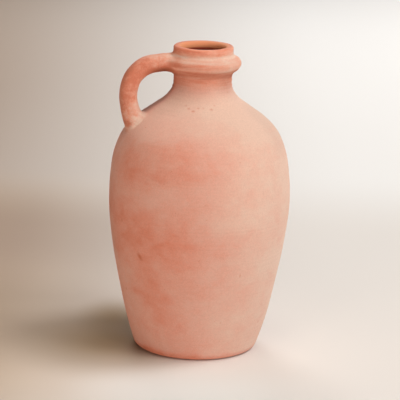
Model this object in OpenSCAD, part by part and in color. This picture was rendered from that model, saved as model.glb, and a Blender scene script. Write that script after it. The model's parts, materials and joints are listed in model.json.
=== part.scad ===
// Hand-thrown terracotta jug: a tall ovoid body, a short neck with a raised collar ring and a
// rounded lip, and one pulled handle that runs from the collar ring down to the shoulder.
// The jug stands on z = 0 and its wheel axis is the Z axis. The handle lies in the XZ plane, on -X.
// Each clay member that the potter makes and lutes to the next is its own module and its own solid.

/* [Body] */
// Height from the foot to the top of the lip
jug_h = 330; // [326:1:336]
// Diameter at the widest part of the belly
belly_d = 194.8; // [184:0.2:204]
// Diameter of the flat face that the jug stands on
foot_d = 121; // [114:1:124]
// Radius of the rounded edge between the foot and the wall
foot_edge_r = 7.5; // [5:0.5:9]
// Thickness of the wall, the neck and the lip
wall = 8; // [6:0.5:9]
// Thickness of the floor
floor_h = 10; // [10:0.5:14]
// Height of the V-shaped key in each luted seam
key_h = 3; // [1:0.5:4]

/* [Neck and collar] */
// Outside diameter of the neck
neck_d = 62; // [60:0.5:63]
// Outside diameter of the collar ring
ring_d = 81.2; // [78:0.2:84]
// Height of the collar ring's widest point
ring_z = 311.5; // [310.5:0.5:312]
// Outside diameter of the lip
lip_d = 64; // [63:0.5:66]
// Height at which the lip sits on the neck
lip_z = 320; // [319.5:0.5:320.5]
// Radius of the lip's outer edge
lip_outer_r = 2.5; // [1.5:0.5:3]
// Radius of the lip's inner edge
lip_inner_r = 4.5; // [3:0.5:5]

/* [Handle] */
// Thickness of the handle in its own plane
handle_t = 18.8; // [16:0.2:20]
// Width of the handle across its plane
handle_w = 21; // [18:0.5:26]
// Extra thickness where the handle meets the shoulder
foot_swell = 2.4; // [0:0.2:3]
// Extra width where the handle is pressed on at the collar ring
root_flare = 5; // [0:0.5:7]
// Extra width where the handle is pressed on at the shoulder
foot_flare = 5; // [0:0.5:7]
// Reach of the luting clay at the collar ring
root_luting = 5; // [4:0.5:6]
// Reach of the luting clay at the shoulder
foot_luting = 8; // [5:0.5:9]

/* [Hidden] */
$fn = 96;

belly_r = belly_d / 2;
foot_r = foot_d / 2;
neck_r = neck_d / 2;
ring_r = ring_d / 2;
lip_r = lip_d / 2;
throat_r = neck_r - wall;

spline_steps = 6;       // straight stretches drawn for each stretch of a spline
arc_steps = 8;          // straight stretches drawn for each rounded edge
handle_sides = 32;      // sides of the handle's section
handle_steps = 4;       // sections drawn for each stretch of the handle's path
luting_steps = 5;       // straight stretches across a fillet of luting clay
bite = 1.5;             // how far a fillet runs under the surfaces it meets, before it is cut back
edge_h = 0.4;           // height of a fillet's edge above the surface that it ends on
squareness = 2.3;       // exponent of the handle's section: 2 is an ellipse

terracotta = [0.86, 0.56, 0.43];
terracotta_rubbed = [0.84, 0.49, 0.34];
luting_clay = [0.88, 0.62, 0.50];

// ---- Curves ----

// Direction of travel at point i of a list, weighted by the distances to its neighbours.
function direction(p, i) =
    let (last = len(p) - 1,
         into = i == 0 ? p[1] - p[0] : p[i] - p[i - 1],
         out_of = i == last ? p[last] - p[last - 1] : p[i + 1] - p[i],
         mean = into / norm(into) * norm(out_of) + out_of / norm(out_of) * norm(into))
    mean / norm(mean);

// Point at share t of the way from a to b, leaving along da and arriving along db.
function hermite(a, b, da, db, t) =
    let (d = norm(b - a))
    a * (2 * t ^ 3 - 3 * t ^ 2 + 1) + da * d * (t ^ 3 - 2 * t ^ 2 + t)
    + b * (3 * t ^ 2 - 2 * t ^ 3) + db * d * (t ^ 3 - t ^ 2);

// Smooth curve through every point of p; start and end set its direction at the two ends.
function spline(p, start, end, steps = spline_steps) =
    let (last = len(p) - 1,
         dirs = [for (i = [0:last]) i == 0 ? start : i == last ? end : direction(p, i)])
    [for (i = [0:last - 1], k = [0:steps - 1])
        hermite(p[i], p[i + 1], dirs[i], dirs[i + 1], k / steps), p[last]];

function arc(centre, r, from, to, steps = arc_steps) =
    [for (k = [0:steps]) let (a = from + (to - from) * k / steps) centre + r * [cos(a), sin(a)]];

// The curve moved sideways by d, to the left of its direction of travel.
function inset(p, d) =
    [for (i = [0:len(p) - 1]) let (v = direction(p, i)) p[i] + d * [-v[1], v[0]]];

function reversed(p) = [for (i = [len(p) - 1:-1:0]) p[i]];

// Radius of a [radius, height] curve at a height, and the part of it between two heights.
function radius_at(curve, z) = lookup(z, [for (p = curve) [p[1], p[0]]]);
function between(curve, low, high) = [for (p = curve) if (p[1] > low && p[1] < high) p];

// ---- Outline of the vessel, as [radius, height] ----

up = [0, 1];
wall_lean = 19;         // lean of the wall just above the foot, from the vertical
belly_z = 0.5 * jug_h;
throat_z = 0.836 * jug_h;
foot_arc = arc([foot_r, foot_edge_r], foot_edge_r, -90, -wall_lean);

// Radii are shares of the belly's radius and heights are shares of the jug's height.
wall_shape = [[0.757, 0.073], [0.867, 0.218], [0.959, 0.364], [1, 0.5], [0.989, 0.582],
              [0.948, 0.655], [0.833, 0.727], [0.71, 0.764], [0.543, 0.8], [0.388, 0.836]];
neck_foot = [neck_r + 1.4, jug_h * 0.861];
neck_start = [neck_r, jug_h * 0.885];
wall_knots = concat([foot_arc[arc_steps]],
                    [for (share = wall_shape) [share[0] * belly_r, share[1] * jug_h]],
                    [neck_foot, neck_start]);
wall_outside = spline(wall_knots, [sin(wall_lean), cos(wall_lean)], up);
wall_inside = concat([for (p = inset(wall_outside, wall)) if (p[1] < neck_start[1] - 1) p],
                     [[throat_r, neck_start[1]]]);

neck_top = [neck_r, lip_z];
throat_top = [throat_r, lip_z];
lip_foot = [lip_r, lip_z + 1.5];
ring_outside = spline([[neck_r, ring_z - 13], [neck_r + 1.9, ring_z - 9.3],
                       [ring_r - 3.1, ring_z - 5.7], [ring_r, ring_z + 0.5],
                       [ring_r - 1.7, ring_z + 4.9], [lip_r + 3, ring_z + 7.4], lip_foot],
                      [0.35, 0.94], [-0.35, 0.94]);
lip_outside = concat(arc([lip_r - lip_outer_r, jug_h - lip_outer_r], lip_outer_r, 0, 90),
                     arc([throat_r + lip_inner_r, jug_h - lip_inner_r], lip_inner_r, 90, 180));

// A luted seam at height z, from the outside to the inside: the lower member carries a V-shaped
// ridge that the upper member fits over.
function seam_between(outer_r, inner_r, z) =
    [[outer_r, z], [(outer_r + inner_r) / 2, z + key_h], [inner_r, z]];
function wall_seam(z) = seam_between(radius_at(wall_outside, z), radius_at(wall_inside, z), z);

slab_seam = wall_seam(floor_h);
belly_seam = wall_seam(belly_z);
throat_seam = wall_seam(throat_z);
lip_seam = seam_between(neck_r, throat_r, lip_z);

// Outline of a member of the wall between two seams.
function wall_member(low, high) =
    concat([low[0]], between(wall_outside, low[0][1], high[0][1]), high,
           reversed(between(wall_inside, low[2][1], high[2][1])), [low[2], low[1]]);

// Radius of the vessel's outside at a height, for laying the handle and its luting on it.
vessel_outside = concat(foot_arc, between(wall_outside, foot_arc[arc_steps][1], floor_h),
                        [slab_seam[0]], between(wall_outside, floor_h, belly_z),
                        [belly_seam[0]], between(wall_outside, belly_z, throat_z),
                        [throat_seam[0]], between(wall_outside, throat_z, jug_h),
                        ring_outside, between(lip_outside, lip_foot[1], jug_h));
function vessel_r(z) = radius_at(vessel_outside, z);

// ---- Members turned about the wheel axis ----

module turned(profile) {
    rotate_extrude() polygon(profile);
}

// The whole outside as one solid, finely divided, for cutting the handle and its luting to fit.
module vessel_solid() {
    turned(concat([[0, 0]], vessel_outside, [[0, jug_h]]), $fn = 360);
}

module foot_slab() {
    color(terracotta) turned(concat([[0, 0]], foot_arc,
                                    between(wall_outside, foot_arc[arc_steps][1], floor_h),
                                    slab_seam, [[0, floor_h]]));
}

module lower_body() {
    color(terracotta) turned(wall_member(slab_seam, belly_seam));
}

module shoulder() {
    color(terracotta) turned(wall_member(belly_seam, throat_seam));
}

module neck() {
    color(terracotta) turned(wall_member(throat_seam, lip_seam));
}

module collar_ring() {
    color(terracotta_rubbed) turned(concat(ring_outside, [neck_top]));
}

module lip() {
    color(terracotta_rubbed) turned(concat([neck_top, lip_foot], lip_outside,
                                           [throat_top, lip_seam[1]]));
}

// ---- Handle ----

// Centre line as [distance from the axis, height]. It starts and ends inside the vessel.
handle_knots = [[24, ring_z + 0.3], [45, ring_z + 0.5], [57.6, ring_z - 1.3], [68.3, ring_z - 7],
                [75.5, ring_z - 15.5], [79.1, ring_z - 25.5], [79.9, ring_z - 35.5],
                [78.4, ring_z - 46.5], [75.5, ring_z - 57], [71.7, ring_z - 68], [67, ring_z - 80]];
handle_path = spline(handle_knots, [1, 0], direction(handle_knots, 10), handle_steps);
handle_end = len(handle_path) - 1;

// Position and direction at a whole or broken index along the path.
function path_point(u) = let (i = min(floor(u), handle_end - 1), t = u - i)
    handle_path[i] * (1 - t) + handle_path[i + 1] * t;
function path_direction(u) = let (i = min(floor(u), handle_end - 1), t = u - i,
                                  v = direction(handle_path, i) * (1 - t)
                                      + direction(handle_path, i + 1) * t) v / norm(v);

function smooth(x) = let (t = min(max(x, 0), 1)) t * t * (3 - 2 * t);
function half_thickness(u) = (handle_t + foot_swell * smooth((u - 26) / 8)) / 2;
function half_width(u) = handle_w / 2 + root_flare / 2 * (1 - smooth(u / 12))
                         + foot_flare / 2 * smooth((u - 26) / 10);

function rounded(c) = sign(c) * abs(c) ^ (2 / squareness);

// Point on the handle's surface at path index u and angle a, moved outwards by grow.
// At a = 0 it faces away from the finger gap and at a = 90 it faces +Y.
function surface_point(u, a, grow = 0) =
    let (p = path_point(u), v = path_direction(u),
         across = (half_thickness(u) + grow) * rounded(cos(a)),
         side = (half_width(u) + grow) * rounded(sin(a)))
    [-(p[0] - v[1] * across), side, p[1] + v[0] * across];

// Closed skin over a list of rings that all have the same number of points.
module skin(rings, closed_loop = false) {
    n = len(rings[0]);
    count = len(rings);
    last = closed_loop ? count - 1 : count - 2;
    sides = [for (i = [0:last], k = [0:n - 1])
                let (j = (i + 1) % count, m = (k + 1) % n)
                each [[i * n + k, j * n + k, j * n + m], [i * n + k, j * n + m, i * n + m]]];
    ends = closed_loop ? [] : [[for (k = [0:n - 1]) k],
                               [for (k = [n - 1:-1:0]) (count - 1) * n + k]];
    polyhedron(points = [for (r = rings) each r], faces = concat(sides, ends));
}

section_angles = [for (k = [0:handle_sides - 1]) k * 360 / handle_sides];

module handle_roll() {
    skin([for (u = [0:handle_end]) [for (a = section_angles) surface_point(u, a)]]);
}

module handle() {
    color(terracotta_rubbed) difference() {
        handle_roll();
        vessel_solid();
    }
}

// ---- Luting clay around the handle's two ends ----

function outside_vessel(p) = norm([p[0], p[1]]) - vessel_r(p[2]);

// Path index between clear, where the handle's surface is clear of the vessel, and buried, where
// it is inside, at which the surface line at angle a meets the vessel.
function contact(a, clear, buried, halvings = 18) =
    halvings == 0 ? (clear + buried) / 2 :
    let (u = (clear + buried) / 2)
    outside_vessel(surface_point(u, a)) > 0 ? contact(a, u, buried, halvings - 1)
                                            : contact(a, clear, u, halvings - 1);

// Outward normal of the vessel at a point on it.
function vessel_normal(p) =
    let (slope = (vessel_r(p[2] + 1) - vessel_r(p[2] - 1)) / 2, flat = norm([p[0], p[1]]),
         n = [p[0] / flat, p[1] / flat, -slope]) n / norm(n);

// The point of the vessel's surface level with p, sunk into the wall by depth.
function laid_on_vessel(p, depth) =
    let (share = (vessel_r(p[2]) - depth) / norm([p[0], p[1]])) [p[0] * share, p[1] * share, p[2]];

function bezier(a, b, c, t) = a * (1 - t) ^ 2 + 2 * b * t * (1 - t) + c * t ^ 2;

// One closed loop of a fillet: a low edge on the handle's side, across the corner to a low edge on
// the vessel, and back through a point inside both.
function fillet_loop(a, clear, buried, reach) =
    let (u = contact(a, clear, buried),
         step = norm(path_point(floor(u)) - path_point(floor(u) + 1)),
         u_edge = u + sign(clear - buried) * reach / step,
         corner = surface_point(u, a),
         n = vessel_normal(corner),
         outwards = surface_point(u, a, 1) - corner,
         along = outwards - n * (outwards * n),
         on_vessel = corner + along / norm(along) * reach,
         high = surface_point(u_edge, a, edge_h),
         low = laid_on_vessel(on_vessel, -edge_h))
    concat([surface_point(u_edge, a, -bite)],
           [for (k = [0:luting_steps]) bezier(high, corner, low, k / luting_steps)],
           [laid_on_vessel(on_vessel, bite), laid_on_vessel(surface_point(u, a, -bite), bite)]);

module luting(clear, buried, reach) {
    loops = [for (a = section_angles) fillet_loop(a, clear, buried, reach)];
    color(luting_clay) difference() {
        skin(clear < buried ? reversed(loops) : loops, closed_loop = true);
        vessel_solid();
        handle_roll();
    }
}

module upper_handle_luting() {
    luting(8, 0, root_luting);
}

module lower_handle_luting() {
    luting(30, handle_end, foot_luting);
}

foot_slab();
lower_body();
shoulder();
neck();
collar_ring();
lip();
handle();
upper_handle_luting();
lower_handle_luting();
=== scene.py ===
"""Looks of the terracotta jug: a thrown body, a collar ring, a rounded lip and one pulled handle.

Every length is in metres in the row frame: the wheel axis is Z, the foot stands on z = 0 and the
handle lies in the XZ plane on -X. Azimuths are in degrees around Z, 0 towards -Y and 90 towards +X.
"""

import json
import math
from functools import reduce

import bpy
import numpy as np
from mathutils import Matrix, Vector


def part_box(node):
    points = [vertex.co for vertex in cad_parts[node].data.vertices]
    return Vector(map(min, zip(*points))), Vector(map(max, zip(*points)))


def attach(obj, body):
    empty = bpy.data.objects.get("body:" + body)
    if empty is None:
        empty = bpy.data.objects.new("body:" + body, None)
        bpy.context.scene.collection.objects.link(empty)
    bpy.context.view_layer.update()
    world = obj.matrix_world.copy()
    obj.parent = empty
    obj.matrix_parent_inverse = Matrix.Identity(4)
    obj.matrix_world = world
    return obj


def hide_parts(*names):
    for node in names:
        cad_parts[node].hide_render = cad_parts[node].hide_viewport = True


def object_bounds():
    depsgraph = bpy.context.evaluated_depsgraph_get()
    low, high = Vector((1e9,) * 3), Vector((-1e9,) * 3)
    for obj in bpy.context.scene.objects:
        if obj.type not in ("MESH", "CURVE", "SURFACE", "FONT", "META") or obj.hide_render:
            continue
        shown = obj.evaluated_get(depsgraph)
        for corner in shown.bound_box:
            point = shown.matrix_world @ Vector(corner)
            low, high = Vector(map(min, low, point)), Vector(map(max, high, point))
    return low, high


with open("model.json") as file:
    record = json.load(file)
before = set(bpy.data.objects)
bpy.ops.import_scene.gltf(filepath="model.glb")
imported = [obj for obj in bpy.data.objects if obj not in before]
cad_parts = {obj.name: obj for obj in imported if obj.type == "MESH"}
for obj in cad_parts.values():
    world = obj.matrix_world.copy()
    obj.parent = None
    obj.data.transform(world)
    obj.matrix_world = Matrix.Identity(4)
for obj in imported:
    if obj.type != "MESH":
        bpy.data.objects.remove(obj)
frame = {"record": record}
cad_low, cad_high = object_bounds()

MM = 0.001

# ---- Sizes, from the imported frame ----

HEIGHT = cad_high.z
BELLY_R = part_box("lower_body")[1].x
RING_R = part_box("collar_ring")[1].x
LIP_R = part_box("lip")[1].x
MOUTH = next(m for m in frame["record"]["mounts"] if m["name"] == "mouth")
THROAT_R = MOUTH["dims"]["r_mm"] * MM

FLOOR_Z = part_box("lower_body")[0].z
BELLY_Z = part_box("shoulder")[0].z
THROAT_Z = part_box("neck")[0].z
LIP_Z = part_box("lip")[0].z
KEY_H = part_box("foot_slab")[1].z - FLOOR_Z

# ---- Sizes that the frame doesn't state, as in the CAD source ----

WALL = 8 * MM
NECK_R = THROAT_R + WALL
FOOT_R = 60.5 * MM
FOOT_EDGE_R = 7.5 * MM
WALL_LEAN = math.radians(19)
LIP_OUTER_R = 2.5 * MM
LIP_INNER_R = 4.5 * MM
RING_Z = 311.5 * MM
NECK_Z = 0.885 * HEIGHT

HANDLE_T = 18.8 * MM
HANDLE_W = 21 * MM
FOOT_SWELL = 2.4 * MM
ROOT_FLARE = 5 * MM
FOOT_FLARE = 5 * MM
SQUARENESS = 2.3

# ---- Fineness of the meshes ----

# Distances between the rows of points along the profile.
WALL_STEP = 1.1 * MM
FOOT_STEP = 0.7 * MM
NECK_STEP = 0.7 * MM
RING_STEP = 0.6 * MM
LIP_STEP = 0.5 * MM
UNSEEN_STEP = 6 * MM
OUTLINE_STEP = 0.8 * MM

# Radius of the small disc that closes a face at the axis, and the gap left before a round edge.
HUB_R = 4 * MM
POINT_GAP = 0.2 * MM

# Points round the vessel and round the handle, and rows along the handle and across a fillet.
COLUMNS, SIDES = 288, 96
HANDLE_ROWS, LUTING_ROWS = 150, 14

# ---- Curves ----


def unit(vectors):
    return vectors / np.linalg.norm(vectors, axis=-1, keepdims=True)


def travel(points):
    """Unit direction of travel at each point, weighted by the distances to its neighbours."""
    step = np.diff(points, axis=0)
    length = np.linalg.norm(step, axis=1, keepdims=True)
    way = step / length
    mean = way[:-1] * length[1:] + way[1:] * length[:-1]
    return unit(np.vstack([way[:1], mean, way[-1:]]))


def spline(knots, start=None, end=None, steps=16):
    """Smooth curve through every knot; start and end set its direction at the two ends."""
    knots = np.array(knots, float)
    way = travel(knots)
    if start is not None:
        way[0] = start
    if end is not None:
        way[-1] = end
    t = (np.arange(steps) / steps)[:, None]
    parts = []
    for a, b, da, db in zip(knots[:-1], knots[1:], way[:-1], way[1:]):
        d = np.linalg.norm(b - a)
        parts.append(a * (2 * t**3 - 3 * t**2 + 1) + da * d * (t**3 - 2 * t**2 + t)
                     + b * (3 * t**2 - 2 * t**3) + db * d * (t**3 - t**2))
    return np.vstack(parts + [knots[-1:]])


def arc(centre, radius, first, last, steps=12):
    angle = np.radians(np.linspace(first, last, steps + 1))
    return np.array(centre) + radius * np.column_stack([np.cos(angle), np.sin(angle)])


def smooth(x):
    t = np.clip(x, 0, 1)
    return t * t * (3 - 2 * t)


def resampled(points, spacing):
    """The curve through the points, with points about spacing apart along it."""
    along = np.concatenate([[0], np.cumsum(np.linalg.norm(np.diff(points, axis=0), axis=1))])
    count = max(2, int(round(along[-1] / spacing)) + 1)
    at = np.linspace(0, along[-1], count)
    return np.column_stack([np.interp(at, along, points[:, k]) for k in range(points.shape[1])])


# ---- Outline of the vessel, as [radius, height] ----

UP = [0, 1]
# Points of the wall, from the foot to the throat, as shares of BELLY_R and of HEIGHT.
WALL_SHAPE = [[0.757, 0.073], [0.867, 0.218], [0.959, 0.364], [1, 0.5], [0.989, 0.582],
              [0.948, 0.655], [0.833, 0.727], [0.71, 0.764], [0.543, 0.8], [0.388, 0.836]]

foot_arc = arc([FOOT_R, FOOT_EDGE_R], FOOT_EDGE_R, -90, -math.degrees(WALL_LEAN))
wall_knots = ([foot_arc[-1]] + [[r * BELLY_R, z * HEIGHT] for r, z in WALL_SHAPE]
              + [[NECK_R + 1.4 * MM, 0.861 * HEIGHT], [NECK_R, NECK_Z]])
wall_outside = spline(wall_knots, [math.sin(WALL_LEAN), math.cos(WALL_LEAN)], UP)
lip_foot = [LIP_R, LIP_Z + 1.5 * MM]
ring_outside = spline([[NECK_R, RING_Z - 13 * MM], [NECK_R + 1.9 * MM, RING_Z - 9.3 * MM],
                       [RING_R - 3.1 * MM, RING_Z - 5.7 * MM], [RING_R, RING_Z + 0.5 * MM],
                       [RING_R - 1.7 * MM, RING_Z + 4.9 * MM], [LIP_R + 3 * MM, RING_Z + 7.4 * MM],
                       lip_foot], [0.35, 0.94], [-0.35, 0.94])
lip_outside = np.vstack([
    arc([LIP_R - LIP_OUTER_R, HEIGHT - LIP_OUTER_R], LIP_OUTER_R, 0, 90),
    arc([THROAT_R + LIP_INNER_R, HEIGHT - LIP_INNER_R], LIP_INNER_R, 90, 180)])
outside = np.vstack([foot_arc[:-1], wall_outside, ring_outside, lip_outside])
wall_line = np.vstack([foot_arc[:-1], wall_outside])


def inset(points, depth):
    way = travel(points)
    return points + depth * np.column_stack([-way[:, 1], way[:, 0]])


wall_inside = inset(wall_outside, WALL)
wall_inside = wall_inside[wall_inside[:, 1] < NECK_Z - 1 * MM]
inside = np.vstack([wall_inside, [[THROAT_R, NECK_Z], [THROAT_R, HEIGHT - LIP_INNER_R]]])


def between(curve, low, high, spacing):
    """The stretch of a rising curve between two heights, evenly divided."""
    ends = [[np.interp(z, curve[:, 1], curve[:, 0]), z] for z in (low, high)]
    middle = curve[(curve[:, 1] > low) & (curve[:, 1] < high)]
    return resampled(np.vstack([ends[0], middle, ends[1]]), spacing)


# ---- Unevenness of hand work, as sums of waves that close around the wheel axis ----

rng = np.random.default_rng(58)


class Waves:
    """Sum of random waves over an azimuth and a length. Its spread is about 1."""

    def __init__(self, count, turns, lengths):
        self.turns = rng.integers(turns[0], turns[1] + 1, count)
        self.rate = 2 * math.pi / rng.uniform(*lengths, count) * rng.choice([-1, 1], count)
        self.phase = rng.uniform(0, 2 * math.pi, count)

    def __call__(self, angle, length):
        total = 0
        for turns, rate, phase in zip(self.turns, self.rate, self.phase):
            total = total + np.sin(turns * angle + rate * length + phase)
        return total / math.sqrt(len(self.turns) / 2)


throwing_rings = Waves(14, (-1, 1), (2.6 * MM, 6.5 * MM))
ring_strength = Waves(8, (-2, 2), (30 * MM, 90 * MM))
lumps = Waves(14, (-4, 4), (60 * MM, 200 * MM))
rim_lumps = Waves(10, (2, 7), (60 * MM, 200 * MM))
strokes = Waves(12, (3, 8), (60 * MM, 240 * MM))
knuckles = Waves(12, (-2, 2), (18 * MM, 60 * MM))
smears = Waves(14, (3, 11), (8 * MM, 30 * MM))

# Depths of the throwing rings, what the neck adds to them, and the lumps of the body and the rim.
THROWING_DEPTH, NECK_DEPTH = 0.045 * MM, 0.05 * MM
LUMP_DEPTH, RIM_LUMP_DEPTH = 0.18 * MM, 0.07 * MM


def vessel_relief(angle, z):
    """How far the thrown surface stands off its ideal outline. The throwing rings are deepest on
    the neck, and everything fades out where the jug stands."""
    foot = smooth(z / (4 * MM))
    neck = smooth((z - 272 * MM) / (14 * MM))
    top = smooth((z - 296 * MM) / (10 * MM))
    rings = throwing_rings(angle, z) * (0.6 + 0.25 * ring_strength(angle, z))
    rings = rings * (THROWING_DEPTH + NECK_DEPTH * neck * (1 - top))
    body = lumps(angle, z) * LUMP_DEPTH * (1 - neck)
    rim = rim_lumps(angle, z) * RIM_LUMP_DEPTH * neck
    return foot * (rings + body + rim)


# ---- Meshes ----


def finished(name, points, faces, crease=35):
    """A smooth-shaded object whose edges are sharp where its faces meet at a steep angle."""
    mesh = bpy.data.meshes.new(name)
    mesh.from_pydata([tuple(p) for p in points], [], faces)
    mesh.validate()
    mesh.shade_smooth()
    mesh.set_sharp_from_angle(angle=math.radians(crease))
    piece = bpy.data.objects.new(name, mesh)
    bpy.context.scene.collection.objects.link(piece)
    return piece


def grid_faces(rows, columns, closed_rows=False):
    """Quads of a grid that closes around its columns, and around its rows too if asked."""
    faces = []
    for i in range(rows if closed_rows else rows - 1):
        a, b = i * columns, (i + 1) % rows * columns
        faces += [(a + k, a + (k + 1) % columns, b + (k + 1) % columns, b + k) for k in range(columns)]
    return faces


def set_weights(piece, name, values):
    layer = piece.data.attributes.new(name, "FLOAT", "POINT")
    layer.data.foreach_set("value", np.asarray(values, np.float32))


AROUND = np.linspace(0, 2 * math.pi, COLUMNS, endpoint=False)


def turned(name, sections, on_axis=False):
    """Solid turned about the wheel axis. sections is a list of (curve, relief strength) pairs that
    follow each other round the profile. With on_axis the profile starts and ends on the axis."""
    profile = np.vstack([curve for curve, _ in sections])
    strength = np.concatenate([np.full(len(curve), s, float) for curve, s in sections])
    way = travel(profile)
    normal = np.column_stack([way[:, 1], -way[:, 0]])
    angle, row = np.meshgrid(AROUND, np.arange(len(profile)))
    lift = vessel_relief(angle, profile[row, 1]) * strength[row]
    radius = profile[row, 0] + normal[row, 0] * lift
    z = profile[row, 1] + normal[row, 1] * lift
    points = np.stack([radius * np.sin(angle), -radius * np.cos(angle), z], -1).reshape(-1, 3)
    faces = grid_faces(len(profile), COLUMNS, closed_rows=not on_axis)
    if on_axis:
        last = (len(profile) - 1) * COLUMNS
        bottom, top = len(points), len(points) + 1
        points = np.vstack([points, [[0, 0, profile[0, 1]], [0, 0, profile[-1, 1]]]])
        faces += [(bottom, (k + 1) % COLUMNS, k) for k in range(COLUMNS)]
        faces += [(top, last + k, last + (k + 1) % COLUMNS) for k in range(COLUMNS)]
    return finished(name, points, faces)


def seam(z, outer, inner):
    """The inner part of a luted seam: the ridge of its V-shaped key, then its inner rim."""
    a = np.interp(z, outer[:, 1], outer[:, 0])
    b = np.interp(z, inner[:, 1], inner[:, 0])
    return np.array([[(a + b) / 2, z + KEY_H]]), np.array([[b, z]])


def wall_member(name, low, high, step):
    """A member of the wall between two seams."""
    low_ridge, _ = seam(low, outside, inside)
    high_ridge, _ = seam(high, outside, inside)
    return turned(name, [(between(outside, low, high, step), 1), (high_ridge, 0),
                         (between(inside, low, high, UNSEEN_STEP)[::-1], 0), (low_ridge, 0)])


def foot_slab():
    ridge, inner_rim = seam(FLOOR_Z, outside, inside)
    underside = resampled(np.array([[HUB_R, 0.0], [FOOT_R - POINT_GAP, 0.0]]), UNSEEN_STEP)
    upper_side = resampled(np.array([inner_rim[0], [HUB_R, FLOOR_Z]]), UNSEEN_STEP)
    return turned("foot_slab_clay", [(underside, 0), (between(outside, 0, FLOOR_Z, FOOT_STEP), 1),
                                     (ridge, 0), (upper_side, 0)], on_axis=True)


def collar_ring():
    bead = resampled(ring_outside, RING_STEP)
    return turned("collar_ring_clay", [(bead, 1), (np.array([[NECK_R, LIP_Z]]), 0),
                                       (np.array([[NECK_R, RING_Z]]), 0)])


def lip():
    wall = np.array([lip_foot, [LIP_R, HEIGHT - LIP_OUTER_R - POINT_GAP]])
    crest = resampled(np.vstack([wall, lip_outside]), LIP_STEP)
    throat = np.array([[THROAT_R, LIP_Z + 3 * MM], [THROAT_R, LIP_Z]])
    ridge = np.array([[(NECK_R + THROAT_R) / 2, LIP_Z + KEY_H], [NECK_R, LIP_Z]])
    return turned("lip_clay", [(crest, 1), (throat, 0), (ridge, 0)])


# ---- Handle ----

# The middle line of the handle, in mm: distance from the axis, then height above RING_Z.
HANDLE_KNOTS = [[24, 0.3], [45, 0.5], [57.6, -1.3], [68.3, -7], [75.5, -15.5], [79.1, -25.5],
                [79.9, -35.5], [78.4, -46.5], [75.5, -57], [71.7, -68], [67, -80]]
# Where the handle swells and flares, as an index along its path: 4 to each stretch between knots.
SWELL_FROM, SWELL_LENGTH, FOOT_FLARE_LENGTH = 26, 8, 10
FLARE_LENGTH = 12
PATH_STEPS = 16
CAD_STEPS = 4

path = spline([[r * MM, RING_Z + z * MM] for r, z in HANDLE_KNOTS], [1, 0], None, PATH_STEPS)
path_way = travel(path)
path_index = np.arange(len(path)) * CAD_STEPS / PATH_STEPS
path_length = np.concatenate([[0], np.cumsum(np.linalg.norm(np.diff(path, axis=0), axis=1))])


def on_path(values, u):
    """Values along the path at index u."""
    if values.ndim == 1:
        return np.interp(u, path_index, values)
    return np.stack([np.interp(u, path_index, values[:, k]) for k in range(values.shape[1])], -1)


def half_thickness(u):
    return (HANDLE_T + FOOT_SWELL * smooth((u - SWELL_FROM) / SWELL_LENGTH)) / 2


def half_width(u):
    return (HANDLE_W + ROOT_FLARE * (1 - smooth(u / FLARE_LENGTH))
            + FOOT_FLARE * smooth((u - SWELL_FROM) / FOOT_FLARE_LENGTH)) / 2


def rounded(c):
    """A cosine or sine, pushed outwards to the squarish section of the handle."""
    return np.sign(c) * np.abs(c) ** (2 / SQUARENESS)


def handle_surface(u, angle, grow=0):
    """Point on the handle at path index u and angle: 0 faces away from the finger gap, 90 degrees
    faces +Y. grow moves it outwards."""
    centre, way = on_path(path, u), unit(on_path(path_way, u))
    across = (half_thickness(u) + grow) * rounded(np.cos(angle))
    side = (half_width(u) + grow) * rounded(np.sin(angle))
    return np.stack([-(centre[..., 0] - way[..., 1] * across), side,
                     centre[..., 1] + way[..., 0] * across], -1)


def handle_outwards(u, angle):
    """Unit direction out of the handle, square to its path."""
    return unit(handle_surface(u, angle, 1.0) - handle_surface(u, angle))


# ---- Distances, for joining the handle to the vessel ----

outline = np.vstack([[[0, 0]], resampled(outside, OUTLINE_STEP), [[0, HEIGHT]]])
OUT_OF_REACH = 20 * MM


def in_blocks(function, points, block=2000):
    """Values of a function at the points, worked out a block at a time to save memory."""
    flat = points.reshape(-1, 3)
    return np.concatenate([function(flat[i:i + block]) for i in range(0, len(flat), block)]
                          ).reshape(points.shape[:-1])


def vessel_distance(points):
    """Distance from the vessel's ideal outline, negative inside it. True up to OUT_OF_REACH."""
    def block(p):
        q = np.column_stack([np.hypot(p[:, 0], p[:, 1]), p[:, 2]])[:, None]
        near = ((np.maximum(outline[:-1, 1], outline[1:, 1]) > p[:, 2].min() - OUT_OF_REACH)
                & (np.minimum(outline[:-1, 1], outline[1:, 1]) < p[:, 2].max() + OUT_OF_REACH))
        a, b = outline[:-1][near][None], outline[1:][near][None]
        ab = b - a
        t = np.clip(((q - a) * ab).sum(-1) / (ab * ab).sum(-1), 0, 1)
        gap = np.linalg.norm(q - (a + ab * t[..., None]), axis=-1).min(1)
        crossings = ((a[..., 1] > q[..., 1]) != (b[..., 1] > q[..., 1]))
        rise = np.where(ab[..., 1] == 0, 1, ab[..., 1])
        at = a[..., 0] + (q[..., 1] - a[..., 1]) * ab[..., 0] / rise
        within = (crossings & (at > q[..., 0])).sum(1) % 2 == 1
        return np.where(within, -gap, gap)
    return in_blocks(block, points)


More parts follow.
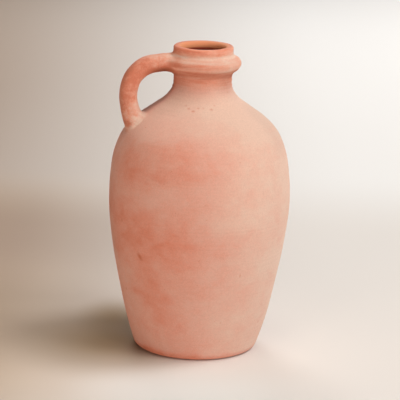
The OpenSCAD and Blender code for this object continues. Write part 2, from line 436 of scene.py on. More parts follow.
def handle_distance(points):
    """Distance from the handle's ideal surface, negative inside it."""
    def block(p):
        q = np.column_stack([-p[:, 0], p[:, 2]])[:, None]
        a, ab = path[:-1][None], np.diff(path, axis=0)[None]
        t = np.clip(((q - a) * ab).sum(-1) / (ab * ab).sum(-1), 0, 1)
        offset = q - (a + ab * t[..., None])
        nearest = np.linalg.norm(offset, axis=-1).argmin(1)
        pick = np.arange(len(p))
        u = (nearest + t[pick, nearest]) * CAD_STEPS / PATH_STEPS
        c = np.linalg.norm(offset[pick, nearest], axis=-1)
        s = np.abs(p[:, 1])
        g = (c / half_thickness(u)) ** SQUARENESS + (s / half_width(u)) ** SQUARENESS
        g = g ** (1 / SQUARENESS)
        return np.hypot(c, s) * (1 - 1 / np.maximum(g, 1e-6))
    return in_blocks(block, points)


def bisected(function, low, high, rounds=30):
    """Where function changes from positive at low to negative at high, entry by entry."""
    low, high = np.array(low, float), np.array(high, float)
    for _ in range(rounds):
        middle = (low + high) / 2
        positive = function(middle) > 0
        low, high = np.where(positive, middle, low), np.where(positive, high, middle)
    return (low + high) / 2


ROUND = np.linspace(0, 2 * math.pi, SIDES, endpoint=False)

# The two ends of the handle, as path indices: clear of the vessel, and buried in its wall.
UPPER = {"clear": 8, "buried": 0}
LOWER = {"clear": 30, "buried": path_index[-1]}
BURIED = 2.5 * MM

# The handle's relief is flat up to JOINT_CLEAR from the vessel and full JOINT_FADE further out.
JOINT_CLEAR, JOINT_FADE = 1 * MM, 12 * MM
STROKE_DEPTH, KNUCKLE_DEPTH, SMEAR_DEPTH = 0.13 * MM, 0.16 * MM, 0.16 * MM


def contact(end, depth):
    """Path index where each line along the handle comes within depth of the vessel's surface."""
    return bisected(lambda u: vessel_distance(handle_surface(u, ROUND)) - depth,
                    np.full(SIDES, end["clear"]), np.full(SIDES, end["buried"]))


def sheltered(u, angle):
    """How far the arch shelters the skin from the sky, 0 to 1: full under its top. Shade is painted
    where it is high.
    """
    return smooth(-np.cos(angle) / 0.75) * (1 - smooth((u - 4) / 9))


def handle():
    """The roll, which ends a little inside the vessel's wall and is smooth near its joints."""
    first, last = contact(UPPER, -BURIED), contact(LOWER, -BURIED)
    share = np.linspace(0, 1, HANDLE_ROWS)[:, None]
    u = first * (1 - share) + last * share
    angle = np.broadcast_to(ROUND, u.shape)
    points = handle_surface(u, angle)
    free = smooth((vessel_distance(points) - JOINT_CLEAR) / JOINT_FADE)
    length = on_path(path_length, u)
    lift = free * (strokes(angle, length) * STROKE_DEPTH + knuckles(angle, length) * KNUCKLE_DEPTH)
    points = points + handle_outwards(u, angle) * lift[..., None]
    flat = points.reshape(-1, 3)
    caps = [points[0].mean(0), points[-1].mean(0)]
    faces = grid_faces(HANDLE_ROWS, SIDES)
    end = (HANDLE_ROWS - 1) * SIDES
    faces += [(len(flat), (k + 1) % SIDES, k) for k in range(SIDES)]
    faces += [(len(flat) + 1, end + k, end + (k + 1) % SIDES) for k in range(SIDES)]
    piece = finished("handle_clay", np.vstack([flat, caps]), faces, crease=60)
    set_weights(piece, "handle", np.ones(len(flat) + 2))
    set_weights(piece, "sheltered", np.append(sheltered(u, angle), [0, 0]))
    return piece


# How the fillets are found: the step for slopes, the rounds that bring points to a surface, and the
# least squared slope that a round divides by. UNDER is how far their edges go into the clay.
NUDGE = 0.05 * MM
LAY_ROUNDS, FILLET_ROUNDS, LEAST_SLOPE = 6, 8, 0.2
UNDER = 0.9 * MM


def gradient(function, points):
    """Slope of a function along X, Y and Z at the points."""
    sides = [function(points + NUDGE * axis) - function(points - NUDGE * axis) for axis in np.eye(3)]
    return np.stack(sides, -1) / (2 * NUDGE)


def blended(points, reach):
    """Distance from the vessel and handle together, with a fillet of the size reach."""
    a, b = vessel_distance(points), handle_distance(points)
    h = np.maximum(reach - np.abs(a - b), 0) / reach
    return np.minimum(a, b) - h * h * reach / 4


def laid(points):
    """The points moved onto the vessel's surface."""
    for _ in range(LAY_ROUNDS):
        points = points - gradient(vessel_distance, points) * vessel_distance(points)[:, None]
    return points


def fillet(on_handle, corner, on_vessel, reach):
    """Rows of points from the handle to the vessel, on the blended surface, and its normals."""
    t = np.linspace(0, 1, LUTING_ROWS)[:, None, None]
    skin = on_handle * (1 - t) ** 2 + 2 * corner * t * (1 - t) + on_vessel * t**2
    reach = np.broadcast_to(reach, skin.shape[:-1])
    for _ in range(FILLET_ROUNDS):
        slope = gradient(lambda p: blended(p, reach), skin)
        steepness = np.maximum((slope * slope).sum(-1), LEAST_SLOPE)
        skin = skin - slope * (blended(skin, reach) / steepness)[..., None]
    skin[0], skin[-1] = on_handle, on_vessel
    return skin, unit(slope)


def luting(name, end, reach):
    """Fillet of clay around one end of the handle. reach is its size for each line of the handle."""
    meet = contact(end, 0)
    corner = handle_surface(meet, ROUND)
    edge_u = bisected(lambda u: vessel_distance(handle_surface(u, ROUND)) - reach,
                      np.full(SIDES, end["clear"]), meet)
    on_handle = handle_surface(edge_u, ROUND)
    normal = unit(gradient(vessel_distance, corner))
    outwards = handle_outwards(meet, ROUND)
    along = unit(outwards - normal * (outwards * normal).sum(-1, keepdims=True))
    width = bisected(lambda w: reach - handle_distance(laid(corner + along * w[:, None])),
                     np.zeros(SIDES), reach * 3)
    on_vessel = laid(corner + along * width[:, None])

    skin, skin_normal = fillet(on_handle, corner, on_vessel, reach)
    t = np.linspace(0, 1, LUTING_ROWS)[:, None]
    angle = np.broadcast_to(ROUND, skin.shape[:-1])
    azimuth = np.arctan2(skin[..., 0], -skin[..., 1])
    lift = (vessel_relief(azimuth, skin[..., 2]) * t
            + smears(angle, t * reach) * SMEAR_DEPTH * 4 * t * (1 - t))
    skin = skin + skin_normal * lift[..., None]

    rim_in_vessel = on_vessel - gradient(vessel_distance, on_vessel) * UNDER
    core = corner - normal * UNDER * 1.5
    rim_in_handle = handle_surface(edge_u, ROUND, -UNDER)
    loops = np.concatenate([skin, [rim_in_vessel, core, rim_in_handle]])
    weights = np.concatenate([np.repeat(1 - t, SIDES, 1), np.zeros((1, SIDES)),
                              np.full((1, SIDES), 0.5), np.ones((1, SIDES))])
    faces = grid_faces(len(loops), SIDES, closed_rows=True)
    if end["clear"] < end["buried"]:
        faces = [face[::-1] for face in faces]
    piece = finished(name, loops.reshape(-1, 3), faces)
    set_weights(piece, "handle", weights.reshape(-1))
    fade = np.append(1 - t[:, 0], [0, 0, 0])
    set_weights(piece, "sheltered", np.outer(fade, sheltered(edge_u, ROUND)).reshape(-1))
    return piece


def facing_gap(away, towards):
    """A size for each line of the handle: one value away from the finger gap, one towards it."""
    share = (1 - np.cos(ROUND)) / 2
    return away * (1 - share) + towards * share


# ---- Building materials ----


def around(azimuth, elevation, distance, target=(0, 0, 0)):
    """Point at a distance from the target, in the direction of an azimuth and an elevation."""
    a, e = math.radians(azimuth), math.radians(elevation)
    away = Vector((math.sin(a) * math.cos(e), -math.cos(a) * math.cos(e), math.sin(e)))
    return Vector(target) + away * distance


class Nodes:
    """Short calls for building one material's node tree. place is the point in the row frame."""

    def __init__(self, name):
        self.material = bpy.data.materials.new(name)
        self.material.use_nodes = True
        self.tree = self.material.node_tree
        self.tree.nodes.clear()
        self.place = self.add("ShaderNodeTexCoord").outputs["Object"]

    def add(self, kind, links=None, **settings):
        node = self.tree.nodes.new(kind)
        for key, value in settings.items():
            setattr(node, key, value)
        for key, value in (links or {}).items():
            self.feed(node.inputs[key], value)
        return node

    def feed(self, socket, value):
        if isinstance(value, bpy.types.NodeSocket):
            self.tree.links.new(value, socket)
        else:
            socket.default_value = value

    def math(self, operation, a, b=0.0):
        return self.add("ShaderNodeMath", {0: a, 1: b}, operation=operation).outputs[0]

    def plus(self, *terms):
        return reduce(lambda a, b: self.math("ADD", a, b), terms)

    def minus(self, a, b):
        return self.math("SUBTRACT", a, b)

    def times(self, *factors):
        return reduce(lambda a, b: self.math("MULTIPLY", a, b), factors)

    def vector(self, operation, a, b):
        node = self.add("ShaderNodeVectorMath", {0: a, 1: b}, operation=operation)
        return node.outputs["Value" if operation in ("LENGTH", "DOT_PRODUCT") else "Vector"]

    def length(self, a):
        return self.vector("LENGTH", a, (0, 0, 0))

    def gap(self, a, b):
        """Distance between two points."""
        return self.length(self.vector("SUBTRACT", a, b))

    def ramp(self, value, low, high, out_low=0.0, out_high=1.0):
        """Smooth step of value from low to high."""
        node = self.add("ShaderNodeMapRange", {"Value": value, "From Min": low, "From Max": high,
                                               "To Min": out_low, "To Max": out_high},
                        interpolation_type="SMOOTHSTEP")
        return node.outputs["Result"]

    def within(self, *edges, strength=1.0):
        """Soft-edged region: strength inside all of its edges, 0 outside any of them. Each edge is
        a value, where the edge starts and where it is full."""
        last, low, high = edges[-1]
        return self.times(*[self.ramp(*edge) for edge in edges[:-1]],
                          self.ramp(last, low, high, 0.0, strength))

    def mix(self, share, a, b):
        node = self.add("ShaderNodeMix", data_type="RGBA")
        self.feed(node.inputs["Factor"], share)
        self.feed(node.inputs[6], a)
        self.feed(node.inputs[7], b)
        return node.outputs[2]

    def blend(self, share, a, b):
        """Number between a and b."""
        return self.add("ShaderNodeMix", {0: share, 2: a, 3: b}).outputs[0]

    def scale_of(self, value, colours):
        """Colour looked up on a scale of (place, colour) pairs."""
        node = self.add("ShaderNodeValToRGB", {"Fac": value})
        while len(node.color_ramp.elements) < len(colours):
            node.color_ramp.elements.new(0.5)
        for element, (at, colour) in zip(node.color_ramp.elements, colours):
            element.position, element.color = at, colour
        return node.outputs["Color"]

    def noise(self, where, scale, detail=2.0, roughness=0.5, distortion=0.0):
        node = self.add("ShaderNodeTexNoise", {"Vector": where, "Scale": scale, "Detail": detail,
                                               "Roughness": roughness, "Distortion": distortion})
        return node.outputs["Fac"]

    def waver(self, *noise):
        """The same noise, centred on 0."""
        return self.minus(self.noise(*noise), 0.5)

    def surface(self, colour, roughness, specular):
        """The material's shader, joined to its output."""
        shader = self.add("ShaderNodeBsdfPrincipled", {"Base Color": colour, "Roughness": roughness})
        shader.inputs["Specular IOR Level"].default_value = specular
        self.add("ShaderNodeOutputMaterial", {"Surface": shader.outputs[0]})
        return shader


# ---- Clay: its colours and marks ----

# The azimuth of the jug's front. Seen from there, the main lamps are on the right, and the bloom is
# painted thin on the left and thick on the right, which is partly painted light.
FRONT = math.radians(-12)

# The clay's colours by bloom: 0 where it is bare and red, 1 under the full pale bloom of the firing.
CLAY_COLOURS = [(0.0, (0.71, 0.245, 0.15, 1)), (0.2, (0.75, 0.325, 0.23, 1)),
                (0.55, (0.765, 0.43, 0.34, 1)), (1.0, (0.775, 0.56, 0.46, 1))]
RUBBED_COLOURS = [(0.0, (0.685, 0.235, 0.14, 1)), (0.3, (0.75, 0.33, 0.225, 1)),
                  (0.6, (0.775, 0.43, 0.322, 1)), (1.0, (0.79, 0.57, 0.47, 1))]
# Dark red of the painted shade under the handle's arch and at the ring's root, where the clay is also
# redder.
DEEP_SHADE = (0.67, 0.19, 0.10, 1)
PIT = (0.60, 0.18, 0.09, 1)
SAND = (0.90, 0.70, 0.60, 1)

# The throat's colours by depth, from the lip down: bright orange at full strength near the lip, which
# is partly painted light, then dark red and nearly black further down, which is painted shade.
THROAT_COLOURS = [(0.0, (0.88, 0.385, 0.21, 1)), (0.42, (1.0, 0.445, 0.205, 1)),
                  (0.58, (0.46, 0.054, 0.022, 1)), (0.76, (0.11, 0.013, 0.0055, 1))]

# Cloudy patches: azimuth, height in mm, half width in degrees, half height in mm, change of bloom.
# Front of the jug, left of its middle.
PATCHES = [(-64, 212, 22, 15, -0.15), (-46, 203, 15, 9, -0.12), (-62, 192, 12, 12, -0.1),
           (-25, 224, 18, 24, -0.15), (-26, 242, 9, 8, -0.15), (-14, 208, 11, 9, -0.1),
           (-60, 149, 22, 21, -0.21), (-47, 152, 26, 12, -0.08), (-50, 120, 27, 21, -0.23),
           (-72, 90, 16, 10, 0.1), (-74, 156, 12, 9, -0.05), (-43, 168, 9, 9, -0.08),
           (-62, 205, 9, 9, -0.08), (-24, 138, 13, 15, -0.24), (-36, 140, 14, 16, -0.03),
           (-78, 124, 16, 16, -0.12), (-22, 112, 12, 16, -0.1), (-54, 82, 13, 17, -0.18),
           (-41, 67, 17, 20, -0.2), (-34, 44, 13, 18, -0.12), (-42, 184, 24, 12, 0.13),
           (-77, 172, 9, 12, -0.16), (-77, 109, 9, 12, -0.1), (-4, 123, 17, 16, -0.15)]
# Front of the jug, from its middle to the right.
PATCHES += [(28, 137, 42, 13, -0.13), (0, 88, 20, 11, -0.14), (24, 80, 14, 12, -0.08),
            (12, 162, 16, 14, 0.1), (56, 108, 24, 20, 0.13), (50, 165, 14, 26, -0.05),
            (20, 22, 46, 16, -0.06), (0, 56, 30, 16, 0.11), (58, 13, 12, 12, -0.12),
            (54, 88, 10, 14, -0.1)]
# Sides and back.
PATCHES += [(112, 205, 34, 20, -0.35), (160, 128, 30, 26, -0.4), (150, 60, 24, 22, -0.2),
            (198, 186, 28, 20, -0.22), (232, 96, 26, 26, -0.3), (205, 40, 20, 18, -0.15),
            (262, 150, 24, 20, -0.25), (250, 222, 26, 14, 0.1), (180, 88, 24, 14, 0.12),
            (128, 170, 22, 14, 0.1)]

# Pits and nicks: azimuth, height, half width and half height in mm, lean in degrees, depth.
NICKS = [(-53, 114.7, 2.4, 4.8, -38, 0.88), (-69, 149.5, 1.4, 1.6, 0, 0.6),
         (18.5, 99, 0.8, 2.2, 0, 0.5), (-75.5, 70, 1.0, 1.9, 10, 0.6), (49, 37, 1.0, 1.6, 0, 0.5),
         (-36, 272, 1.7, 0.8, 0, 0.3), (-30, 269.6, 1.6, 0.9, 0, 0.4),
         (-23, 267.7, 2.1, 1.0, 0, 0.5), (-17, 270.4, 1.6, 0.8, 0, 0.35),
         (-10, 270.6, 1.3, 0.8, 0, 0.25), (1, 269.6, 1.8, 0.9, 0, 0.45),
         (7, 273, 1.3, 0.8, 0, 0.3), (150, 176, 1.2, 3.0, -18, 0.8),
         (205, 118, 1.5, 1.4, 0, 0.6), (110, 92, 1.0, 1.8, 0, 0.5)]
NICK_REACH = 6 * MM


def wall_point(azimuth, z):
    """Point on the outside of the wall."""
    return around(azimuth, 0, np.interp(z, wall_line[:, 1], wall_line[:, 0]), (0, 0, z))


def patches(n, where):
    """Sum of soft blots on the body. Each is an ellipse around its place, measured along the wall."""
    total = 0.0
    for azimuth, z, half_degrees, half_height, change in PATCHES:
        centre = wall_point(azimuth, z * MM)
        size = math.hypot(centre.x, centre.y) * math.radians(half_degrees)
        scaled = n.vector("MULTIPLY", n.vector("SUBTRACT", where, centre),
                          (1 / size, 1 / size, 1 / (half_height * MM)))
        total = n.plus(n.ramp(n.length(scaled), 1.5, 0.1, 0.0, change), total)
    return total


def nicks(n):
    """Strongest of the small pits at each point, 0 to 1."""
    total = 0.0
    for azimuth, z, half_width, half_height, lean, strength in NICKS:
        a, b = math.radians(azimuth), math.radians(lean)
        level = Vector((math.cos(a), math.sin(a), 0))
        along = level * math.sin(b) + Vector((0, 0, math.cos(b)))
        across = level * math.cos(b) - Vector((0, 0, math.sin(b)))
        outwards = Vector((math.sin(a), -math.cos(a), 0))
        offset = n.vector("SUBTRACT", n.place, wall_point(azimuth, z * MM))
        sizes = [(across, half_width * MM), (along, half_height * MM), (outwards, NICK_REACH)]
        inputs = {k: n.math("DIVIDE", n.vector("DOT_PRODUCT", offset, way), size)
                  for k, (way, size) in enumerate(sizes)}
        gap = n.length(n.add("ShaderNodeCombineXYZ", inputs).outputs[0])
        total = n.math("MAXIMUM", n.ramp(gap, 1.6, 0.1, 0.0, strength), total)
    return total


class Clay(Nodes):
    """Node tree of a clay, with what its marks are measured by, in order: the distance from the axis
    towards the right, the side of the main light, where the bloom is painted paler; the distance
    towards the front; turn, the sine of the azimuth from the front; handle, 1 on the handle's skin;
    and sheltered, 1 under the top of its arch, where shade is painted."""

    def __init__(self, name):
        super().__init__(name)
        self.z = self.add("ShaderNodeSeparateXYZ", {"Vector": self.place}).outputs["Z"]
        self.radius = self.length(self.vector("MULTIPLY", self.place, (1, 1, 0)))
        self.handle = self.add("ShaderNodeAttribute", attribute_name="handle").outputs["Fac"]
        self.sheltered = self.add("ShaderNodeAttribute", attribute_name="sheltered").outputs["Fac"]
        self.towards_light = self.vector("DOT_PRODUCT", self.place,
                                (math.cos(FRONT), math.sin(FRONT), 0))
        self.front = self.vector("DOT_PRODUCT", self.place,
                                 (math.sin(FRONT), -math.cos(FRONT), 0))
        self.turn = self.math("DIVIDE", self.towards_light, self.math("MAXIMUM", self.radius, 0.01))
        self.off_handle = self.minus(1.0, self.handle)
        self.wide = self.vector("MULTIPLY", self.place, (1, 1, 2.0))
        self.cloud = self.waver(self.wide, 24, 7, 0.66, 0.5)
        self.wavy_z = self.plus(self.z, self.times(self.cloud, 0.014))
        # Places where shade is painted and the clay is also redder: the band under the ring, the
        # neck's sides, the ring's root by the handle and the crease where the handle's lower end meets
        # the shoulder.
        self.under_ring = self.within((self.z, 0.2965, 0.3030), (self.z, 0.3090, 0.3060))
        self.neck_side = self.within((self.z, 0.278, 0.290), (self.z, 0.304, 0.299))
        self.ring_root = self.near_ring(-80, -6.5 * MM, 0.0155, 0.003)
        crease = self.within((self.z, 0.2535, 0.2490), (self.z, 0.2420, 0.2455),
                             (self.radius, 0.0765, 0.081))
        self.crease = self.times(crease, self.handle)

    def near_ring(self, azimuth, above, low, high, strength=1.0):
        """Soft spot on the collar ring, round an azimuth and a height above its widest part. low is
        the distance where it starts and high where it is full."""
        centre = around(azimuth, 0, RING_R, (0, 0, RING_Z + above))
        return self.ramp(self.gap(self.place, centre), low, high, 0.0, strength)


def wall_bloom(n, on_wall):
    """Cloudy bloom of the body: thin on the left and thick on the right, the side of the main light,
    which is partly painted light; drawn out sideways by the wheel, and thick round the shoulder."""
    drift = n.waver(n.wide, 7, 2, 0.5)
    # Paler towards the right, the side of the main light, here and in the shoulder's pale band below:
    # partly painted light.
    bloom = n.ramp(n.towards_light, -0.05, 0.085, 0.40, 0.93)
    if on_wall:
        warp = n.add("ShaderNodeTexNoise",
                     {"Vector": n.place, "Scale": 30, "Detail": 6, "Roughness": 0.6})
        shift = n.vector("SUBTRACT", warp.outputs["Color"], (0.5, 0.5, 0.5))
        shift = n.vector("MULTIPLY", shift, (0.055, 0.055, 0.045))
        bloom = n.plus(bloom, patches(n, n.vector("ADD", n.place, shift)))
    mottle = n.waver(n.place, 70, 5, 0.62, 0.4)
    bloom = n.plus(bloom, n.times(n.cloud, 0.55), n.times(drift, 0.2), n.times(mottle, 0.5))
    shoulder = n.within((n.wavy_z, 0.226, 0.268), (n.wavy_z, 0.292, 0.272), strength=0.85)
    pale = n.plus(n.times(n.cloud, 0.5), n.ramp(n.towards_light, -0.08, 0.05, 0.83, 1.12))
    return n.blend(shoulder, bloom, pale)


def neck_bloom(n):
    """Bloom of the neck, ring and lip: rubbed off in blots and in streaks that run round, and thinner
    on the left than on the right, the side of the main light, which is partly painted light. It is
    left in the groove above the ring, in a band round the ring's belly, which is partly painted
    highlight, and on the crown of the lip, thinner on the left and thicker towards the front."""
    streaks = n.noise(n.vector("MULTIPLY", n.place, (22, 22, 260)), 1.0, 5, 0.65, 0.2)
    blots = n.noise(n.vector("ADD", n.place, (0.02, 0.03, 0.05)), 60, 5, 0.65, 0.5)
    crown = n.plus(n.ramp(n.towards_light, -0.02, 0.02, -0.32, -0.04), n.ramp(n.front, 0.0, 0.028, 0.0, 0.22))
    outside_throat = (n.radius, 0.030, 0.0315)
    bloom = n.plus(
        n.times(blots, 0.8), n.times(streaks, 1.7), n.ramp(n.towards_light, -0.04, 0.04, -1.05, -0.78),
        n.times(n.ramp(n.z, 0.3255, 0.3285), crown),
        n.within((n.z, 0.3045, 0.3070), (n.z, 0.3125, 0.3095), strength=0.24),
        n.within((n.z, 0.3140, 0.3170), (n.z, 0.3258, 0.3210), outside_throat, strength=0.36),
        n.within((n.z, 0.3186, 0.3210), (n.z, 0.3237, 0.3217), outside_throat, strength=0.34))
    return n.minus(bloom, n.times(n.under_ring, 0.21))


def redder_edges(n):
    """Bloom taken off, leaving redder clay: at the worn foot edge, on the wall behind the handle,
    where a thin strip along the left outline as seen from the front is partly painted shade, and on
    the neck's right side.
    """
    return n.plus(n.ramp(n.wavy_z, 0.011, 0.001, 0.0, 0.38),
                  n.within((n.z, 0.252, 0.262), (n.turn, -0.90, -0.99), strength=0.3),
                  n.within((n.z, 0.262, 0.285), (n.turn, -0.80, -0.99), strength=0.22),
                  n.times(n.neck_side, n.ramp(n.turn, 0.45, 0.90, 0.0, 0.14)))


def handle_bloom(n):
    """Dust on the handle: none where hands rubbed it, more towards the finger gap, the shoulder and
    the top of the joint with the ring."""
    dust = n.times(n.waver(n.vector("ADD", n.place, (0.3, 0.1, 0.2)), 85, 8, 0.72, 0.2), 1.9)
    freckles = n.times(n.waver(n.place, 300, 3, 0.6), 0.8)
    gap_side = n.within((n.radius, 0.080, 0.066), (n.z, 0.308, 0.292), strength=0.38)
    bend = n.within((n.radius, 0.050, 0.065), (n.z, 0.268, 0.290), strength=0.26)
    outer_edge = n.within((n.radius, 0.078, 0.089), (n.z, 0.236, 0.250), strength=0.27)
    top_joint = n.within((n.radius, 0.070, 0.056), (n.z, 0.304, 0.315), strength=0.23)
    dust = n.plus(dust, freckles, n.ramp(n.z, 0.300, 0.238, 0.27, 0.55),
                  n.minus(gap_side, n.math("MAXIMUM", bend, outer_edge)), top_joint)
    # Less dust under the arch leaves it redder, along with the painted shade there.
    return n.minus(dust, n.times(n.sheltered, 0.95))


def joint_marks(n):
    """Change of bloom round the handle's joints: red where the ring meets the handle, and pale slip
    wiped over the lower joint."""
    ring_end = n.near_ring(-73, 7 * MM, 0.012, 0.003, 0.22)
    ring_flush = n.near_ring(-60, 3 * MM, 0.014, 0.002, 0.2)
    wiped = n.within((n.z, 0.262, 0.254), (n.z, 0.240, 0.246), (n.handle, 0.05, 0.4),
                     (n.radius, 0.084, 0.078))
    diagonal = n.add("ShaderNodeVectorRotate", {"Vector": n.place, "Angle": math.radians(-35)},
                     rotation_type="Y_AXIS").outputs[0]
    wipe_marks = n.noise(n.vector("MULTIPLY", diagonal, (60, 60, 330)), 1.0, 4, 0.6, 0.4)
    slip = n.times(wiped, n.ramp(wipe_marks, 0.38, 0.60, 0.12, 0.75))
    bare = n.plus(n.times(n.ring_root, 0.5), ring_flush, n.times(n.crease, 0.5))
    return n.minus(n.plus(ring_end, slip), bare)


def painted_shade(n):
    """Painted shade and painted light, as a share taken off the clay's brightness: painted shade in
    the hollows under the ring and under the handle's arch, in the crease and at the ring's root by the
    handle, on the handle's outer side and along the jug's outline as seen from its front; painted
    light low on the left wall and on the front of the lip's crown.
    """
    # Painted shade along the jug's outline as seen from its front: beside the finger gap, on the
    # shoulder's right edge and on the neck's sides.
    fade = (n.z, 0.252, 0.262), (n.z, 0.300, 0.285)
    gap_edge = n.times(n.within(*fade, (n.turn, -0.945, -0.997), strength=0.26), n.off_handle)
    sun_edge = n.within((n.z, 0.205, 0.230), (n.z, 0.275, 0.262), (n.turn, 0.84, 0.98),
                        strength=0.07)
    neck_edge = n.times(n.neck_side, n.ramp(n.math("ABSOLUTE", n.turn), 0.35, 0.85, 0.0, 0.13))
    outer_side = n.times(n.within((n.z, 0.240, 0.250), (n.z, 0.285, 0.270),
                                  (n.radius, 0.080, 0.090), strength=0.09), n.handle)
    # Painted shade under the ring, under the handle's arch, in the crease, at the ring's root and on
    # the handle's outer side.
    dark = n.plus(n.times(n.under_ring, n.off_handle, 0.20), n.times(n.sheltered, 0.48),
                  n.times(neck_edge, n.off_handle), n.times(n.crease, 0.13),
                  n.times(n.ring_root, n.ramp(n.z, 0.319, 0.308, 0.0, 0.12)),
                  gap_edge, sun_edge, outer_side)
    # Painted light low on the left wall and on the front of the lip's crown.
    light = n.plus(n.within((n.z, 0.12, 0.07), (n.turn, -0.80, -0.97), strength=0.12),
                   n.within((n.z, 0.3235, 0.3275), (n.front, 0.0, 0.025), strength=0.09))
    return n.minus(dark, light)


def grainy(n, colour):
    """The colour with grains of sand and grog in it, dark and light, with the painted shade and
    painted light put on it, and darker towards the bottom.
    """
    grains = n.ramp(n.noise(n.place, 640, 3, 0.75), 0.25, 0.75, 0.94, 1.06)
    shade = n.times(grains, n.ramp(n.z, 0.02, 0.20, 0.97, 1.02), n.minus(1.0, painted_shade(n)))
    colour = n.add("ShaderNodeHueSaturation", {"Value": shade, "Color": colour}).outputs[0]
    colour = n.mix(n.ramp(n.noise(n.place, 1150, 2, 0.6), 0.64, 0.80, 0.0, 0.4), colour, SAND)
    return n.mix(n.ramp(n.noise(n.place, 430, 2, 0.5), 0.30, 0.20, 0.0, 0.6), colour, PIT)


def throat_shaded(n, colour):
    """The colour with the throat over it: bright near the lip, which is partly painted light, and dark
    further down, which is painted shade.
    """
    inner = n.ramp(n.radius, THROAT_R + 5.6 * MM, THROAT_R + 1.4 * MM, 0.0, 0.93)
    depth = n.add("ShaderNodeMapRange",
                  {"Value": n.z, "From Min": HEIGHT, "From Max": HEIGHT - 12 * MM})
    return n.mix(inner, colour, n.scale_of(depth.outputs["Result"], THROAT_COLOURS))


def surface_bump(n, pit):
    """Lines left by the wheel, the grain of the fired clay, and the pits."""
    lines = n.noise(n.vector("MULTIPLY", n.place, (6, 6, 700)), 1.0, 3, 0.6)
    relief = n.plus(n.times(lines, n.off_handle, 0.30), n.times(n.noise(n.place, 1400, 3, 0.7), 0.35),
                    n.times(n.noise(n.place, 260, 3, 0.6), 0.5))
    relief = n.minus(relief, n.times(pit, 0.3))
    return n.add("ShaderNodeBump", {"Height": relief, "Distance": 0.22 * MM, "Strength": 1.0})


def clay(name, wetness, on_wall, nicked=False):
    """Unglazed terracotta. wetness is how far a wet sponge smoothed it. on_wall says whether any of
    it lies on the wall, where the cloudy patches are, and nicked whether it has the pits."""
    n = Clay(name)
    rubbed = n.ramp(n.wavy_z, 0.2835, 0.2985)
    bloom = n.minus(n.blend(rubbed, wall_bloom(n, on_wall), neck_bloom(n)), redder_edges(n))
    bloom = n.plus(n.blend(n.handle, bloom, handle_bloom(n)), joint_marks(n))
    colour = n.mix(n.math("MAXIMUM", rubbed, n.handle),
                   n.scale_of(bloom, CLAY_COLOURS), n.scale_of(bloom, RUBBED_COLOURS))
    # Painted shade: dark red under the handle's arch and at the ring's root.
    deep_shade = n.times(n.math("MAXIMUM", n.sheltered, n.ring_root), 0.85)
    colour = grainy(n, n.mix(deep_shade, colour, DEEP_SHADE))
    pit = nicks(n) if nicked else 0.0
    colour = throat_shaded(n, n.mix(pit, colour, PIT))
    shader = n.surface(colour, n.ramp(bloom, -0.1, 0.8, 0.74 - 0.1 * wetness, 0.94), 0.22)
    shader.inputs["Diffuse Roughness"].default_value = 0.6
    n.feed(shader.inputs["Normal"], surface_bump(n, pit).outputs[0])
    return n.material


# ---- The jug ----

body_clay = clay("terracotta", 0.0, on_wall=True, nicked=True)
rubbed_clay = clay("terracotta_rubbed", 1.0, on_wall=False)
luting_clay = clay("luting_clay", 0.5, on_wall=True)

UPPER_REACH = facing_gap(4.5 * MM, 6 * MM)
LOWER_REACH = facing_gap(4 * MM, 8 * MM)

PIECES = [
    (foot_slab(), "foot_slab", "terracotta", body_clay),
    (wall_member("lower_body_clay", FLOOR_Z, BELLY_Z, WALL_STEP), "lower_body", "terracotta",
     body_clay),
    (wall_member("shoulder_clay", BELLY_Z, THROAT_Z, WALL_STEP), "shoulder", "terracotta",
     body_clay),
    (wall_member("neck_clay", THROAT_Z, LIP_Z, NECK_STEP), "neck", "terracotta", body_clay),
    (collar_ring(), "collar_ring", "terracotta_rubbed", rubbed_clay),
    (lip(), "lip", "terracotta_rubbed", rubbed_clay),
    (handle(), "handle", "terracotta_rubbed", rubbed_clay),
    (luting("upper_luting_clay", UPPER, UPPER_REACH), "upper_handle_luting", "luting_clay",
     luting_clay),
    (luting("lower_luting_clay", LOWER, LOWER_REACH), "lower_handle_luting", "luting_clay",
     luting_clay),
]
for piece, node, slot, material in PIECES:
    piece.data.materials.append(material)
    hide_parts(node)
    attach(piece, "root")

# ---- Stage: the table ----

VIEW_AZIMUTH = -12
TABLE_R = 12

# Painted light and shade of the table: lit and shaded tones, a painted shadow by the foot and a
# painted dim band further back.
NEAR_SHADE, NEAR_LIT = (0.62, 0.475, 0.34, 1), (0.83, 0.797, 0.768, 1)
FRONT_SHADE, FRONT_LIT = (0.565, 0.505, 0.445, 1), (0.91, 0.92, 0.90, 1)
FAR_SHADE, FAR_LIT = (0.435, 0.325, 0.25, 1), (0.92, 0.915, 0.91, 1)
FAR_END = (0.545, 0.44, 0.365, 1)
FOOT_SHADE = (0.42, 0.31, 0.19, 1)
BAND_SHADE = (0.305, 0.222, 0.2, 1)

# Painted shadow pools by the jug's foot and a painted pool of light in front of it: centre across and
# back, how fast each fades across and back, strength and colour.
POOLS = [((-0.092, -0.005), (7.5, 6.5), 0.95, FOOT_SHADE),
         ((-0.093, 0.085), (19, 11), 0.8, FOOT_SHADE),
         ((0.005, -0.17), (6.5, 9), 1.0, FRONT_LIT)]


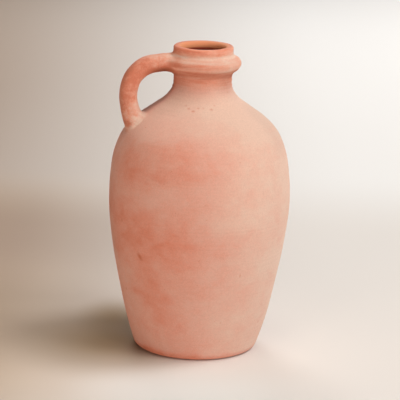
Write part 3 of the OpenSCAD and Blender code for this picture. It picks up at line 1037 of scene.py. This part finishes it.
def table_tone():
    """Painted light and shade: pale where the light falls, darker and warmer away from it, painted
    shadow pools by the foot, a painted pool of light in front of it and a painted dim band further
    back.
    """
    n = Nodes("floor")
    here = n.add("ShaderNodeVectorRotate",
                 {"Vector": n.place, "Angle": -math.radians(VIEW_AZIMUTH)},
                 rotation_type="Z_AXIS").outputs[0]
    split = n.add("ShaderNodeSeparateXYZ", {"Vector": here})
    across, back = split.outputs["X"], split.outputs["Y"]
    near = n.mix(n.ramp(back, -0.10, -0.45), NEAR_SHADE, FRONT_SHADE)
    near = n.mix(n.ramp(across, -0.30, 0.02), near, NEAR_LIT)
    for centre, fade, strength, colour in POOLS:
        offset = n.vector("SUBTRACT", here, (*centre, 0))
        gap = n.length(n.vector("MULTIPLY", offset, (*fade, 0)))
        near = n.mix(n.ramp(gap, 1.0, 0.0, 0.0, strength), near, colour)
    far = n.mix(n.ramp(back, 1.2, 2.4), FAR_SHADE, FAR_END)
    far = n.mix(n.ramp(across, -0.55, 0.25), far, FAR_LIT)
    colour = n.mix(n.ramp(back, 0.46, 0.82), near, far)
    # Painted shade: a dim band further back, darker at its left end.
    band = n.within((back, 0.02, 0.42), (back, 0.75, 0.47), (across, 0.20, -0.24), strength=0.48)
    colour = n.mix(band, colour, BAND_SHADE)
    left_end = n.within((back, 0.80, 0.50), (across, -0.16, -0.24), strength=0.15)
    colour = n.mix(left_end, colour, BAND_SHADE)
    # Further out than the shade, the table is pale again.
    out_of_view = n.plus(across, n.times(back, 0.045))
    colour = n.mix(n.ramp(out_of_view, -0.33, -0.55), colour, NEAR_LIT)
    n.surface(colour, 0.9, 0.1)
    return n.material


def floor():
    """The table top, as one large disc whose faces are small near the jug."""
    rings, columns = np.geomspace(0.05, TABLE_R, 30), 64
    turn = np.linspace(0, 2 * math.pi, columns, endpoint=False)
    points = [(0, 0, 0)] + [(r * math.sin(a), -r * math.cos(a), 0) for r in rings for a in turn]
    faces = [(0, 1 + k, 1 + (k + 1) % columns) for k in range(columns)]
    faces += [tuple(1 + corner for corner in face[::-1]) for face in grid_faces(len(rings), columns)]
    plane = finished("floor", points, faces)
    plane.data.materials.append(table_tone())


# ---- Stage: the lights and the camera ----


def area_light(name, place, target, size, power, colour, spread):
    """A round lamp that faces the target. spread is the angle of its beam in degrees."""
    data = bpy.data.lights.new(name, "AREA")
    data.shape = "DISK"
    data.size, data.energy, data.color, data.spread = size, power, colour, math.radians(spread)
    light = bpy.data.objects.new(name, data)
    bpy.context.scene.collection.objects.link(light)
    light.location = place
    light.rotation_mode = "QUATERNION"
    light.rotation_quaternion = (target - place).to_track_quat("-Z", "Y")
    light.visible_camera = False


def camera():
    """Stands where the jug is seen from a little above, leaning a touch to one side."""
    distance, eye_height, lens, lean = 2.3, 0.74, 197.65, math.radians(1.72)
    data = bpy.data.cameras.new("camera")
    data.lens, data.sensor_width = lens, 36
    eye = around(VIEW_AZIMUTH, 0, distance) + Vector((0, 0, eye_height))
    target = Vector((0.001, 0, 0.1606))
    look = (target - eye).normalized()
    right = look.cross(Vector((0, 0, 1))).normalized()
    upward = right.cross(look)
    tilted_right = right * math.cos(lean) + upward * math.sin(lean)
    tilted_up = upward * math.cos(lean) - right * math.sin(lean)
    pose = Matrix((tilted_right, tilted_up, -look)).transposed().to_4x4()
    pose.translation = eye
    eye_object = bpy.data.objects.new("camera", data)
    eye_object.matrix_world = pose
    bpy.context.scene.collection.objects.link(eye_object)
    bpy.context.scene.camera = eye_object


def dark_world():
    """No light of its own: the lamps do it all."""
    sky = bpy.data.worlds.new("studio")
    sky.use_nodes = True
    sky.node_tree.nodes["Background"].inputs["Strength"].default_value = 0.0
    bpy.context.scene.world = sky


# Soft lights round the jug: azimuth from the camera, elevation, size, power, colour and spread.
LIGHT_DISTANCE = 4
WHITE, SOFT, WARM = (1.0, 0.98, 0.955), (1.0, 0.85, 0.68), (1.0, 0.87, 0.76)
LIGHTS = {"key": (92, 58, 1.5, 54, WHITE, 180), "key_front": (60, 45, 1.6, 51, WHITE, 180),
          "front": (30, 45, 1.6, 17.5, WHITE, 180), "top": (0, 80, 1.6, 25.5, SOFT, 180),
          "high_left": (-50, 50, 1.6, 3, WARM, 180), "low_right": (15, 6, 1.2, 31, WARM, 180),
          "low_left": (-30, 6, 1.2, 33, WARM, 180), "back": (-170, 35, 1.8, 12, WHITE, 90)}

# Lights that hang over the table behind the jug and at its side: azimuth from the camera, distance,
# size, power and spread.
TABLE_LIGHT_HEIGHT = 1.8
TABLE_LIGHTS = {"backdrop": (155, 2.6, 1.5, 11.5, 120), "side": (-95, 3.0, 1.5, 10, 110)}

floor()
middle = Vector((0, 0, HEIGHT / 2))
for name, (azimuth, elevation, size, power, colour, spread) in LIGHTS.items():
    area_light(name, around(VIEW_AZIMUTH + azimuth, elevation, LIGHT_DISTANCE, middle), middle,
               size, power, colour, spread)
for name, (azimuth, distance, size, power, spread) in TABLE_LIGHTS.items():
    spot = around(VIEW_AZIMUTH + azimuth, 0, distance)
    area_light(name, spot + Vector((0, 0, TABLE_LIGHT_HEIGHT)), spot, size, power, WHITE, spread)
dark_world()
camera()
bpy.context.scene.view_settings.view_transform = "Standard"
